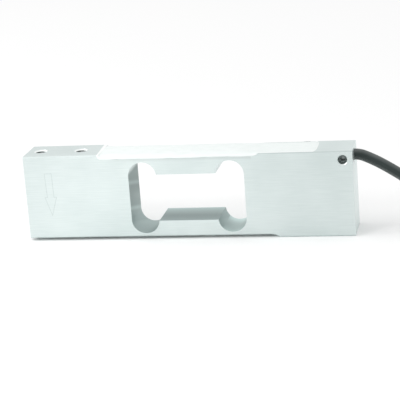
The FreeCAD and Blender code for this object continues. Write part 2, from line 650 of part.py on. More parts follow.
# Coil: one flat loop of turns in line with the bar, with the straight stretches where the cable comes
# in along the front side and goes out along the rear side.
CABLE_RUN = f"sqrt({COIL_OUTER} ^ 2 - ({OUTER_TURN} - sizes.cable_diameter / 2) ^ 2)"
ENTRY_RUN = f"({CABLE_RUN} + sizes.entry_margin)"
SLEEVE_RUN = f"sqrt({COIL_OUTER} ^ 2 - ({OUTER_TURN} - sizes.sleeve_diameter / 2) ^ 2)"
EXIT_RUN = f"({SLEEVE_RUN} + sizes.tail_margin)"
RUN_INSIDE = "sizes.coil_straight / 4"
TIE_ANGLE = -90
ALONG = Vector(1, 0, 0)
BACK = Vector(0, 1, 0)
half_side = value("sizes.coil_straight") / 2
outer_turn = value(OUTER_TURN)
coil_centre = LEAD_ROUTE[-1] + ALONG * (value(ENTRY_RUN) + half_side) + BACK * outer_turn
coil_centre.z = 0
exit_heading = -ALONG
exit_start = coil_centre - ALONG * half_side + BACK * outer_turn + UP * (value("sizes.sleeve_diameter") / 2)


def coil_outline(sketch, radius):
    """Two straight sides and two round ends about the coil's middle."""
    half = "sizes.coil_straight / 2"
    outline(sketch, [
        (f"-{half}", f"-{radius}"),
        (half, f"-{radius}", radius),
        (f"{half} + {radius}", "0", radius),
        (half, radius),
        (f"-{half}", radius, radius),
        (f"-{half} - {radius}", "0", radius),
    ])


coil_loop = new_body("coil_loop")
coil_outside = sketch_on(coil_loop, "coil_outside", "XY_Plane")
coil_outline(coil_outside, COIL_OUTER)
pad(coil_loop, "coil_bundle", coil_outside, COIL_HEIGHT)
coil_inside = sketch_on(coil_loop, "coil_inside", "XY_Plane")
coil_outline(coil_inside, "sizes.coil_inner_radius")
pocket(coil_loop, "coil_hollow", coil_inside)
coil_loop.Placement.Base = coil_centre
coil_turns = doc.addObject("Part::MultiFuse", "coil_turns")
coil_turns.Shapes = [
    coil_loop,
    straight("coil_entry", "sizes.cable_diameter", f"{ENTRY_RUN} + {RUN_INSIDE}", LEAD_ROUTE[-1], ALONG),
    straight("coil_exit", "sizes.cable_diameter", f"{EXIT_RUN} + {RUN_INSIDE}",
             exit_start - exit_heading * value(RUN_INSIDE), exit_heading),
]
coil_turns.Refine = False

# Tie: a flat band around the front side of the coil, which it pulls in.
TIE_MIDDLE = f"(sizes.coil_inner_radius + {COIL_WIDTH} / 2)"
TIE_OPENING = f"({COIL_WIDTH} - 2 * sizes.tie_squeeze)"
TIE_OPENING_HEIGHT = f"({COIL_HEIGHT} - sizes.tie_thickness - sizes.tie_squeeze)"
coil_tie = doc.addObject("Part::Cut", "coil_tie")
coil_tie.Base = box("tie_band", f"{TIE_OPENING} + 2 * sizes.tie_thickness", "sizes.tie_width",
                    f"{TIE_OPENING_HEIGHT} + 2 * sizes.tie_thickness", TIE_MIDDLE)
coil_tie.Tool = box("tie_opening", TIE_OPENING, "sizes.tie_width", TIE_OPENING_HEIGHT, TIE_MIDDLE, "0",
                    "sizes.tie_thickness")
coil_tie.Placement = Placement(coil_centre, Rotation(UP, TIE_ANGLE))
cable_coil = doc.addObject("Part::Cut", "cable_coil")
cable_coil.Base = coil_turns
cable_coil.Tool = coil_tie

# Far end: a shrunk sleeve on the cable's end, and its leads fanned out on the floor.
sleeve_start = exit_start + exit_heading * value(EXIT_RUN)
lead_sleeve = straight("lead_sleeve", "sizes.sleeve_diameter", "sizes.sleeve_length", sleeve_start, exit_heading)
sleeve_end = sleeve_start + exit_heading * value("sizes.sleeve_length")
LEADS = ("lead_red", "lead_black", "lead_drain", "lead_green", "lead_white")
across = UP.cross(exit_heading)
lead_length = value("sizes.lead_length")
leads = []
tips = []
for name, angle, lane in zip(LEADS, BUNDLE, LANES):
    root = sleeve_end + exit_heading * core_gap + in_bundle(angle, across)
    heading = exit_heading * lead_length + across * (lane * value("sizes.lead_spread"))
    heading.normalize()
    leads.append(straight(name, core_size(name), "sizes.lead_length", root, heading))
    if name != "lead_drain":
        tip_root = root + heading * lead_length
        tips.append(straight(f"{name}_tip", "sizes.tip_diameter", "sizes.tip_length", tip_root, heading))
lead_tips = group("lead_tips", tips)
doc.recompute()

NODES = [spring_body, silicone_seal, clamp_screw, cable_in_bore] + embedded
NODES += [cable_lead, cable_coil, coil_tie, lead_sleeve] + leads + [lead_tips]
faults = [item.Label for item in doc.Objects if "Invalid" in item.State or "Error" in item.State]
faults += [item.Label for item in NODES if item.Shape.isNull() or not item.Shape.isValid()]
if faults:
    raise RuntimeError(f"failed: {faults}")
os.makedirs("parts", exist_ok=True)
for item in NODES:
    item.Shape.exportStep(f"parts/{item.Label}.step")
    print(item.Label, len(item.Shape.Solids), round(item.Shape.Volume, 2))
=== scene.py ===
import math

import bpy
import numpy as np
from mathutils import Matrix, Vector


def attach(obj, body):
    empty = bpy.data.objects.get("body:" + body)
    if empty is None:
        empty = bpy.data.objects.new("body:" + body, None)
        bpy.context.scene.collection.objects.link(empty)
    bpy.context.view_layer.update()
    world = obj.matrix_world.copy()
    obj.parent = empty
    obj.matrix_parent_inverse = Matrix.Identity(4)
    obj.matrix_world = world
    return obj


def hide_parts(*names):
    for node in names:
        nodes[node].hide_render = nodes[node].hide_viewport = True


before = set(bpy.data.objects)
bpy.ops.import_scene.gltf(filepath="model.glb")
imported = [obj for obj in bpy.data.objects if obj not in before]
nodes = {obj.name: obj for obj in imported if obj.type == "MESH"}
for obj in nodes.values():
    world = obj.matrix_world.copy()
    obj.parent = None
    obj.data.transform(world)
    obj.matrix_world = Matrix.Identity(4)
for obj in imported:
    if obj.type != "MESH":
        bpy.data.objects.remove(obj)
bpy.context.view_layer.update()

# Spring body: one bar of aluminium, milled all over and bolted to a frame by its base pad. Fine lines run
# along its bright faces. The walls of the window are rougher, with soft bands where the cutter's side
# passed, and their colour is darkened as painted shade of the window's inside. A little silicone is
# smeared on the rims of the load pad and of the wiring pocket.
MM = 0.001
FRONT_FACE = -10.0 * MM
BAR_MIDDLE = 20.0 * MM
FLAT, NEARLY_FLAT, SLOPED = 0.95, 0.9, 0.4
FACE_TONES = ((0.626, 0.70, 0.69), (0.706, 0.775, 0.765))
# Painted light on the outer faces: painted shade towards the cable end, a painted shadow under the seal,
# painted light on the end face.
FACE_PAINTED_LIGHT = {"cable end": 0.935, "under the seal": -0.10, "end face": 0.07}
# The window's walls carry painted shade of the window's inside, painted light low down, towards the cable
# end and on upward faces, and painted shade on the islands.
SHADED_WALL_TONES = ((0.28, 0.34, 0.335), (0.365, 0.43, 0.42))
WALL_STEPS_AND_PAINTED_LIGHT = {"plain": 0.96, "low": 0.37, "cable end": 0.18, "step": 0.26, "depth": 5000.0, "island": -0.22}
WINDOW_HALF_LENGTH, WINDOW_LOWEST = 26.8 * MM, 2.0 * MM
ISLAND_HALF_LENGTH = 13.7 * MM
PASS_SLANT = math.radians(-14)
PASS_SIZE = (125 * MM, 60 * MM, 5 * MM)
PASS_STEPS = (2.42, 4.72)
EDGE_INSIDE, EDGE_ABOVE, EDGE_TILT = 9.5 * MM, 38.6 * MM, 0.35
# Painted shade on the top bevels along the cable end.
EDGE_PAINTED_SHADE = (0.55, 0.62, 0.61)
MOUTH_RADIUS, MOUTH_DEPTH = 3.3 * MM, 0.7 * MM
# Painted highlight on the countersinks of the tapped holes and on the upward lip of the screw hole.
MOUTH_HIGHLIGHT_TONE = (0.89, 0.93, 0.92)
SCREW_X, SCREW_Z, SCREW_MOUTH_RADIUS = 70.5 * MM, 35.0 * MM, 2.5 * MM
PAD_CORNER = (-38.2 * MM, FRONT_FACE, 39.95 * MM)
SMEAR_TONE = (0.85, 0.875, 0.865)
# Painted shade where the silicone leaves a small gap on the pocket's rear rim.
NICK_X, GAP_PAINTED_SHADE = 53.2 * MM, (0.26, 0.30, 0.295)


def new_finish(name, **even):
    """Material with one Principled shader; values that are even all over go on the shader's own sockets."""
    material = bpy.data.materials.new(name)
    material.use_nodes = True
    shader = material.node_tree.nodes["Principled BSDF"]
    for socket, amount in even.items():
        shader.inputs[socket.replace("_", " ")].default_value = amount
    return material, material.node_tree, shader


def add(tree, kind, sockets=None, **settings):
    """Node of a finish. Settings are its properties; a socket takes a number, a colour or another output."""
    item = tree.nodes.new(kind)
    for name, setting in settings.items():
        setattr(item, name, setting)
    for socket, source in (sockets or {}).items():
        if isinstance(source, bpy.types.NodeSocket):
            tree.links.new(source, item.inputs[socket])
        else:
            item.inputs[socket].default_value = source
    return item.outputs[0]


def object_place(tree):
    """Object coordinates, which are the part's own frame in metres."""
    return tree.nodes.new("ShaderNodeTexCoord").outputs["Object"]


def parts_of(tree, vector):
    """X, Y and Z of a vector."""
    return add(tree, "ShaderNodeSeparateXYZ", {0: vector}).node.outputs


def facing_of(tree):
    """X, Y and Z of the direction that the surface faces."""
    return parts_of(tree, tree.nodes.new("ShaderNodeNewGeometry").outputs["Normal"])


def distance(tree, place, point):
    """Distance of a place from a point, in metres."""
    item = add(tree, "ShaderNodeVectorMath", {0: place, 1: point}, operation="DISTANCE").node
    return item.outputs["Value"]


def grain(tree, place, per_metre, detail=2.0):
    """Noise with that many features in a metre along X, Y and Z, from 0 to 1."""
    stretched = add(tree, "ShaderNodeMapping", {"Vector": place, "Scale": per_metre})
    return add(tree, "ShaderNodeTexNoise", {"Vector": stretched, "Scale": 1.0, "Detail": detail})


def ramp(tree, amount, low, high, start=0.3, end=0.7):
    """Two tones laid over an amount, the first below start and the second above end."""
    item = tree.nodes.new("ShaderNodeValToRGB")
    for stop, place, tone in zip(item.color_ramp.elements, (start, end), (low, high)):
        stop.position = place
        stop.color = (*tone, 1.0)
    tree.links.new(amount, item.inputs["Fac"])
    return item.outputs["Color"]


def combined(tree, kind, first, second=0.0, third=0.0):
    """Up to three amounts put together by a Math operation."""
    return add(tree, "ShaderNodeMath", {0: first, 1: second, 2: third}, operation=kind)


def product(tree, *amounts):
    """Several amounts multiplied together."""
    result = amounts[0]
    for amount in amounts[1:]:
        result = combined(tree, "MULTIPLY", result, amount)
    return result


def weighed(tree, amount, weight, base):
    """An amount times its weight, on top of a base."""
    return combined(tree, "MULTIPLY_ADD", amount, weight, base)


def apart(tree, amount, middle=0.0):
    """How far an amount is from a middle, to either side."""
    return combined(tree, "ABSOLUTE", combined(tree, "SUBTRACT", amount, middle))


def above(tree, amount, limit):
    """1 where an amount is over a limit, and 0 elsewhere."""
    return combined(tree, "GREATER_THAN", amount, limit)


def below(tree, amount, limit):
    """1 where an amount is under a limit, and 0 elsewhere."""
    return combined(tree, "LESS_THAN", amount, limit)


def between(tree, amount, low, high, start=0.0, end=1.0):
    """An amount laid out between two levels, the first at start and the second at end."""
    return add(tree, "ShaderNodeMapRange", {"Value": amount, "From Min": start, "From Max": end,
                                            "To Min": low, "To Max": high})


def rising(tree, amount, start, end):
    """Share that climbs from 0 at start to 1 at end."""
    return between(tree, amount, 0.0, 1.0, start, end)


def falling(tree, amount, start, end):
    """Share that drops from 1 at start to 0 at end."""
    return between(tree, amount, 1.0, 0.0, start, end)


def scaled(tree, colour, light):
    """A colour made lighter or darker by an amount."""
    return add(tree, "ShaderNodeVectorMath", {0: colour, "Scale": light}, operation="SCALE")


def mixed(tree, share, first, second):
    """One colour laid over another by a share from 0 to 1."""
    item = tree.nodes.new("ShaderNodeMix")
    item.data_type = "RGBA"
    for socket, source in zip((0, 6, 7), (share, first, second)):
        if isinstance(source, bpy.types.NodeSocket):
            tree.links.new(source, item.inputs[socket])
        else:
            item.inputs[socket].default_value = (*source, 1.0)
    return item.outputs[2]


def relief(tree, shader, height, depth):
    """Bump on the shader, depth in metres."""
    bump = add(tree, "ShaderNodeBump", {"Height": height, "Strength": 1.0, "Distance": depth})
    tree.links.new(bump, shader.inputs["Normal"])


def dress(node, material):
    """Give a CAD node its finish."""
    nodes[node].data.materials.clear()
    nodes[node].data.materials.append(material)


def face_tone_with_painted_light(tree, along, facing, milling):
    """Tone of the outer faces: two tones over the milling, with painted shade a little darker on the sides
    towards the cable end, a painted shadow close under the seal, and painted light on the end face."""
    on_side = above(tree, apart(tree, facing["Y"]), NEARLY_FLAT)
    to_cable = product(tree, rising(tree, along["X"], 0.0, 45 * MM), on_side)
    under_seal = product(tree, rising(tree, along["Z"], 36.3 * MM, 37.4 * MM), on_side,
                         rising(tree, along["X"], -36 * MM, -26 * MM), below(tree, along["X"], 30 * MM))
    light = between(tree, to_cable, 1.0, FACE_PAINTED_LIGHT["cable end"])
    light = weighed(tree, under_seal, FACE_PAINTED_LIGHT["under the seal"], light)
    light = weighed(tree, above(tree, facing["X"], NEARLY_FLAT), FACE_PAINTED_LIGHT["end face"], light)
    return scaled(tree, ramp(tree, milling, *FACE_TONES, 0.38, 0.62), light)


def wall_tone_with_painted_light(tree, along, facing, slanted, bands):
    """Tone of the window's walls, darkened as painted shade of the window's inside: two tones over the
    bands, with painted light low down, towards the cable end and, by the square of its depth, on what faces
    up, lighter at the steps between two passes, and painted shade on the islands."""
    light = weighed(tree, rising(tree, along["Z"], 20 * MM, 9 * MM), WALL_STEPS_AND_PAINTED_LIGHT["low"], WALL_STEPS_AND_PAINTED_LIGHT["plain"])
    light = weighed(tree, rising(tree, along["X"], 14 * MM, 22 * MM), WALL_STEPS_AND_PAINTED_LIGHT["cable end"], light)
    height = parts_of(tree, slanted)["Z"]
    for step in PASS_STEPS:
        off_step = apart(tree, height, step)
        light = weighed(tree, falling(tree, off_step, 0.05, 0.26), WALL_STEPS_AND_PAINTED_LIGHT["step"], light)
    depth = combined(tree, "POWER", apart(tree, along["Y"], -2 * MM), 2.0)
    depth = product(tree, depth, above(tree, facing["Z"], 0.7), rising(tree, along["X"], -15 * MM, -13 * MM))
    light = weighed(tree, depth, WALL_STEPS_AND_PAINTED_LIGHT["depth"], light)
    on_island = product(tree, above(tree, facing["Z"], FLAT),
                        below(tree, apart(tree, along["X"]), ISLAND_HALF_LENGTH))
    light = weighed(tree, on_island, WALL_STEPS_AND_PAINTED_LIGHT["island"], light)
    return scaled(tree, ramp(tree, bands, *SHADED_WALL_TONES, 0.40, 0.66), light)


def window_share(tree, along, facing):
    """Share of the window's walls: 1 in the window, fading out over it and over its corner at the cable."""
    return product(tree, below(tree, apart(tree, along["X"]), WINDOW_HALF_LENGTH),
                   above(tree, along["Z"], WINDOW_LOWEST), falling(tree, along["Z"], 30 * MM, 33 * MM),
                   falling(tree, combined(tree, "ADD", along["X"], along["Z"]), 40 * MM, 44 * MM),
                   below(tree, apart(tree, facing["Y"]), 0.5))


def shaded_edge_share(tree, along, facing):
    """Share of the painted shade on the bevels along the top edges of the cable end."""
    return product(tree, above(tree, apart(tree, along["Y"]), EDGE_INSIDE),
                   above(tree, along["Z"], EDGE_ABOVE), above(tree, facing["Z"], EDGE_TILT),
                   above(tree, apart(tree, facing["Y"]), EDGE_TILT),
                   rising(tree, along["X"], 26 * MM, 40 * MM))


def mouth_highlight_share(tree, place, along, facing):
    """Share of the painted highlights on the countersinks: those of the tapped holes, and what faces up at
    the screw hole.
    """
    tilt, steep = apart(tree, facing["Z"]), apart(tree, facing["Y"])
    tapped = product(tree, above(tree, apart(tree, along["Z"], BAR_MIDDLE), BAR_MIDDLE - MOUTH_DEPTH),
                     below(tree, apart(tree, along["Y"]), MOUTH_RADIUS),
                     above(tree, tilt, SLOPED), below(tree, tilt, FLAT))
    turned_up = combined(tree, "SUBTRACT", facing["Z"], facing["X"])
    from_screw = distance(tree, place, (SCREW_X, FRONT_FACE, SCREW_Z))
    at_screw = product(tree, below(tree, from_screw, SCREW_MOUTH_RADIUS), above(tree, steep, SLOPED),
                       below(tree, steep, FLAT), rising(tree, turned_up, 0.2, 0.8))
    return combined(tree, "MAXIMUM", tapped, at_screw)


def smear_shares(tree, place, along, facing, clouds):
    """Shares of the smeared silicone and of a small gap in it, where the bare rim is painted dark as shade.
    The silicone lies on the end of the load pad with a ragged edge, round that pad's front corner, and on
    the pocket's rims up to a rounded end."""
    ragged = weighed(tree, along["Y"], 0.055, weighed(tree, clouds, 0.8 * MM, along["X"]))
    on_pad = product(tree, rising(tree, ragged, -40.48 * MM, -40.28 * MM),
                     below(tree, along["X"], -37.4 * MM), above(tree, along["Z"], 37.8 * MM),
                     below(tree, facing["Y"], 0.8), above(tree, facing["Y"], -0.5))
    at_corner = product(tree, falling(tree, distance(tree, place, PAD_CORNER), 2.0 * MM, 2.2 * MM),
                        below(tree, facing["Y"], -0.5))
    aside = apart(tree, along["Y"])
    rounding = combined(tree, "POWER", rising(tree, aside, 4.0 * MM, 9.7 * MM), 2.0)
    rim_end = weighed(tree, rounding, 1.3 * MM, along["X"])
    on_rim = product(tree, falling(tree, rim_end, 58.8 * MM, 59.0 * MM),
                     rising(tree, along["X"], 28 * MM, 34 * MM), falling(tree, aside, 9.55 * MM, 9.75 * MM),
                     above(tree, along["Z"], EDGE_ABOVE), above(tree, facing["Z"], NEARLY_FLAT))
    silicone_gap_shade = product(tree, falling(tree, apart(tree, along["X"], NICK_X), 1.2 * MM, 1.7 * MM),
                   rising(tree, along["Y"], 8.8 * MM, 9.1 * MM), on_rim)
    on_rim = combined(tree, "SUBTRACT", on_rim, silicone_gap_shade)
    smear = combined(tree, "MAXIMUM", on_pad, combined(tree, "MAXIMUM", at_corner, on_rim))
    return smear, silicone_gap_shade


bar_metal, tree, shader = new_finish("bar_metal")
place = object_place(tree)
along, facing = parts_of(tree, place), facing_of(tree)
lines = grain(tree, place, (90.0, 2400.0, 2400.0), 3.0)
broad_lines = grain(tree, place, (26.0, 620.0, 620.0))
clouds = grain(tree, place, (40.0, 40.0, 40.0), 3.0)
milling = weighed(tree, broad_lines, 0.08, combined(tree, "MULTIPLY", clouds, 0.54))
milling = weighed(tree, lines, 0.38, milling)
slanted = add(tree, "ShaderNodeMapping", {"Vector": place, "Rotation": (PASS_SLANT, 0.0, 0.0),
                                          "Scale": PASS_SIZE}, vector_type="TEXTURE")
bands = add(tree, "ShaderNodeTexNoise", {"Vector": slanted, "Scale": 1.0, "Detail": 1.0})
in_window = window_share(tree, along, facing)
smear, silicone_gap_shade = smear_shares(tree, place, along, facing, clouds)
tone = mixed(tree, in_window, face_tone_with_painted_light(tree, along, facing, milling),
             wall_tone_with_painted_light(tree, along, facing, slanted, bands))
tone = mixed(tree, shaded_edge_share(tree, along, facing), tone, EDGE_PAINTED_SHADE)
tone = mixed(tree, mouth_highlight_share(tree, place, along, facing), tone, MOUTH_HIGHLIGHT_TONE)
# Painted shade in the silicone's gap on the pocket's rear rim.
tone = mixed(tree, silicone_gap_shade, tone, GAP_PAINTED_SHADE)
tree.links.new(mixed(tree, smear, tone, SMEAR_TONE), shader.inputs["Base Color"])
tree.links.new(combined(tree, "SUBTRACT", 1.0, smear), shader.inputs["Metallic"])
gloss = add(tree, "ShaderNodeMix", {0: in_window, 2: between(tree, lines, 0.30, 0.46),
                                    3: between(tree, bands, 0.46, 0.60)})
tree.links.new(gloss, shader.inputs["Roughness"])
relief(tree, shader, milling, 0.012 * MM)
dress("spring_body", bar_metal)

# Tapped holes: four holes with a coarse machine thread, cut after the bar was drilled. The thread
# starts just below each countersunk mouth and runs to the end of the straight bore.
THREAD_PITCH = 1.0 * MM
THREAD_ROOT = 2.49 * MM
THREAD_CREST = 2.18 * MM
THREAD_SKIN = 0.02 * MM
THREAD_LENGTH = 13.0 * MM
THREAD_STARTS = ((-69.0, 39.35, -1), (-49.95, 39.35, -1), (49.95, 0.65, 1), (69.0, 0.65, 1))


def piece_from_grid(name, points, closed_rows=False, closed_columns=False, caps=False):
    """Piece from a grid of points. Each cell is a face, a closed direction joins its last line to its
    first, caps fill the first and last row, and the enclosed volume's sign turns the faces outwards."""
    rows, columns = points.shape[:2]
    index = np.arange(rows * columns).reshape(rows, columns)
    index = np.vstack([index, index[:1]]) if closed_rows else index
    index = np.hstack([index, index[:, :1]]) if closed_columns else index
    faces = np.stack([index[:-1, :-1], index[1:, :-1], index[1:, 1:], index[:-1, 1:]], axis=-1)
    faces = faces.reshape(-1, 4)
    flat = points.reshape(-1, 3)
    a, b, c, d = (flat[faces[:, i]] - flat.mean(axis=0) for i in range(4))
    enclosed = (a * np.cross(b, c)).sum() + (a * np.cross(c, d)).sum()
    lids = [index[0, :columns].tolist(), index[rows - 1, :columns][::-1].tolist()] if caps else []
    if enclosed < 0:
        faces = faces[:, ::-1]
        lids = [lid[::-1] for lid in lids]
    mesh = bpy.data.meshes.new(name)
    mesh.from_pydata(flat.tolist(), [], faces.tolist() + lids)
    mesh.polygons.foreach_set("use_smooth", [True] * len(faces) + [False] * len(lids))
    mesh.update()
    piece = bpy.data.objects.new(name, mesh)
    bpy.context.scene.collection.objects.link(piece)
    return piece


def thread_sleeve(name, x, start, direction):
    """Thread in a bore: a wall whose radius is a clipped triangle wave of height over pitch less the turn,
    so its crest climbs one pitch in each turn, closed by a plain wall at the bore."""
    turn = np.linspace(0, 2 * np.pi, 72, endpoint=False)
    height = np.linspace(0, THREAD_LENGTH, 105)
    phase = (height[:, None] / THREAD_PITCH - turn[None, :] / (2 * np.pi)) % 1.0
    tooth = np.clip(1.5 * (1 - np.abs(2 * phase - 1)) - 0.25, 0, 1)
    run_in = np.clip(np.minimum(height, THREAD_LENGTH - height) / THREAD_PITCH, 0, 1)[:, None]
    radius = THREAD_ROOT - THREAD_SKIN - (THREAD_ROOT - THREAD_CREST) * tooth * run_in
    radius = np.vstack([radius, np.full((2, len(turn)), THREAD_ROOT)])
    level = np.concatenate([height, [THREAD_LENGTH, 0.0]])
    z = np.broadcast_to((start * MM + direction * level)[:, None], radius.shape)
    points = np.stack([x * MM + radius * np.cos(turn), radius * np.sin(turn), z], axis=-1)
    return piece_from_grid(name, points, closed_rows=True, closed_columns=True)


shaded_thread_metal, tree, shader = new_finish("shaded_thread_metal", Metallic=1.0)
cut = grain(tree, object_place(tree), (900.0, 900.0, 4000.0))
# The thread is painted dark as shade of the hole's inside.
tree.links.new(ramp(tree, cut, (0.10, 0.11, 0.11), (0.22, 0.24, 0.24)), shader.inputs["Base Color"])
tree.links.new(between(tree, cut, 0.25, 0.45), shader.inputs["Roughness"])
relief(tree, shader, cut, 0.006 * MM)
for number, (x, start, direction) in enumerate(THREAD_STARTS, start=1):
    thread = thread_sleeve(f"hole_thread_{number}", x, start, direction)
    thread.data.materials.append(shaded_thread_metal)
    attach(thread, "root")

# Load arrow: an outline marked by a fine cutter on the front of the load end, pointing down.
# The line is shallow and a little duller than the milled face around it.
ARROW = ((-65.5, 31.9), (-62.2, 31.9), (-62.0, 20.8), (-60.8, 20.8),
         (-63.5, 12.2), (-66.3, 20.8), (-65.1, 20.8))
ARROW_LINE = 0.32 * MM
ARROW_PROUD = 0.012 * MM


def outline_band(corners, width):
    """Band along a closed outline: each corner moves in and out along its mitre, the sum of the two
    neighbouring normals over one plus their product."""
    loop = np.array(corners) * MM
    sides = np.roll(loop, -1, axis=0) - loop
    sides /= np.linalg.norm(sides, axis=1)[:, None]
    normals = np.stack([sides[:, 1], -sides[:, 0]], axis=1)
    before = np.roll(normals, 1, axis=0)
    mitre = (normals + before) / (1 + (normals * before).sum(axis=1))[:, None]
    outer, inner = loop + mitre * width / 2, loop - mitre * width / 2
    section = ((outer, -ARROW_PROUD), (outer, ARROW_PROUD), (inner, ARROW_PROUD), (inner, -ARROW_PROUD))
    return np.stack([np.stack([edge[:, 0], np.full(len(loop), FRONT_FACE + depth), edge[:, 1]], axis=1)
                     for edge, depth in section], axis=1)


marked_metal, tree, shader = new_finish("marked_metal", Metallic=1.0)
scratch = grain(tree, object_place(tree), (1800.0, 1800.0, 1800.0))
tree.links.new(ramp(tree, scratch, (0.55, 0.62, 0.61), (0.67, 0.74, 0.73)), shader.inputs["Base Color"])
tree.links.new(between(tree, scratch, 0.45, 0.65), shader.inputs["Roughness"])
arrow_band = outline_band(ARROW, ARROW_LINE)
load_arrow = piece_from_grid("load_arrow", arrow_band, closed_rows=True, closed_columns=True)
load_arrow.data.polygons.foreach_set("use_smooth", [False] * len(load_arrow.data.polygons))
load_arrow.data.materials.append(marked_metal)
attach(load_arrow, "root")


# Gauges and wiring under the seal: foil grids on amber film, solder strips and ribbons, and a small
# board with trim resistors and the ends of the cable's cores. All of it is glued down and cast over.
def worked_finish(name, dark, light, per_metre, rough, depth, **even):
    """Finish of a small piece: one grain gives its two tones, its gloss and its relief."""
    material, tree, shader = new_finish(name, **even)
    mottle = grain(tree, object_place(tree), per_metre, 3.0)
    tree.links.new(ramp(tree, mottle, dark, light), shader.inputs["Base Color"])
    tree.links.new(between(tree, mottle, *rough), shader.inputs["Roughness"])
    relief(tree, shader, mottle, depth)
    return material


amber_film = worked_finish("amber_film", (0.50, 0.29, 0.07), (0.66, 0.42, 0.13),
                           (260, 260, 260), (0.18, 0.34), 0.004 * MM)
grid_foil = worked_finish("grid_foil", (0.58, 0.47, 0.38), (0.74, 0.64, 0.54),
                          (300, 5000, 900), (0.22, 0.40), 0.002 * MM, Metallic=1.0)
green_laminate = worked_finish("green_laminate", (0.03, 0.20, 0.08), (0.05, 0.29, 0.12),
                               (1800, 1800, 400), (0.22, 0.42), 0.010 * MM)
chip_ceramic = worked_finish("chip_ceramic", (0.025, 0.025, 0.028), (0.06, 0.06, 0.062),
                             (3000, 3000, 3000), (0.35, 0.60), 0.006 * MM)
tinned_copper = worked_finish("tinned_copper", (0.58, 0.58, 0.56), (0.76, 0.76, 0.74),
                              (1500, 1500, 1500), (0.24, 0.42), 0.008 * MM, Metallic=1.0)
CORE_TONES = {
    "red": ((0.52, 0.020, 0.016), (0.66, 0.035, 0.028)),
    "black": ((0.016, 0.016, 0.017), (0.036, 0.036, 0.038)),
    "green": ((0.020, 0.27, 0.075), (0.034, 0.37, 0.11)),
    "white": ((0.80, 0.80, 0.78), (0.90, 0.90, 0.88)),
}
core_finish = {
    colour: worked_finish(f"core_{colour}_skin", *tones, (700, 700, 700), (0.30, 0.46), 0.004 * MM)
    for colour, tones in CORE_TONES.items()}
for end in ("load", "fixed"):
    dress(f"gauge_film_{end}", amber_film)
    dress(f"{end}_ribbon", amber_film)
    dress(f"gauge_grids_{end}", grid_foil)
    dress(f"terminal_strip_{end}", green_laminate)
dress("bridge_board", green_laminate)
dress("trim_resistors", chip_ceramic)
dress("drain_wire", tinned_copper)
for colour, material in core_finish.items():
    dress(f"core_{colour}", material)

# Silicone seal: white sealant pressed into the recess over the gauges and levelled off in the wiring
# pocket. It was laid by hand, so its back is a little uneven and its edges swell slightly.
BAR_HALF_WIDTH = 10.0
RECESS_START, RECESS_FLOOR, RECESS_CORNER = -39.5, 37.75, 2.0
RUNOUT_START, RUNOUT_LENGTH, RUNOUT_RADIUS = 29.74, 3.66, 6.0
POCKET_START, POCKET_END = 29.5, 58.5
POCKET_HALF_WIDTH, POCKET_CORNER, POCKET_FLOOR = 8.79, 3.0, 32.02
POCKET_RIM, PAD_RIM = 38.88, 38.6
SEAL_STATIONS = ((-39.5, -37.2, 16), (-36.9, 28.8, 170), (29.0, 36.0, 50), (36.5, 55.3, 48),
                 (55.5, 58.5, 28))
SEAL_CREST = ((-39.5, 39.98), (-38.5, 39.95), (-36, 39.86), (-20, 39.68), (0, 39.58), (18, 39.62),
              (27, 39.50), (31, 39.26), (35, 39.02), (40, 38.94), (58.5, 38.94))
SEAL_SWELL, SEAL_LUMPS, LEVELLED_SHARE = 0.22, 0.16, 0.35
SEAL_UNDERCUT, SEAL_FILM = 0.02, 0.03


def eased(amount, start, end):
    """Smooth step from 0 at start to 1 at end, the cubic 3t^2 - 2t^3."""
    t = np.clip((amount - start) / (end - start), 0, 1)
    return t * t * (3 - 2 * t)


def arc_drop(depth, radius):
    """Fall of an arc at a depth into its corner: the radius less the root of the difference of squares."""
    return radius - np.sqrt(radius ** 2 - np.clip(depth, 0, radius) ** 2)


def signed_power(amount, power):
    """Power of an amount's size, with the sign of the amount."""
    return np.sign(amount) * np.abs(amount) ** power


def uneven(along, across, strength):
    """Hand-laid unevenness: five sine waves at unlike slants and lengths, added up."""
    waves = ((0.31, 0.17, 0.4), (0.53, -0.41, 1.9), (0.87, 0.62, 4.1), (0.19, 0.95, 2.7),
             (1.37, -0.23, 5.3))
    return strength * sum(np.sin(a * along + b * across + c) for a, b, c in waves) / len(waves)


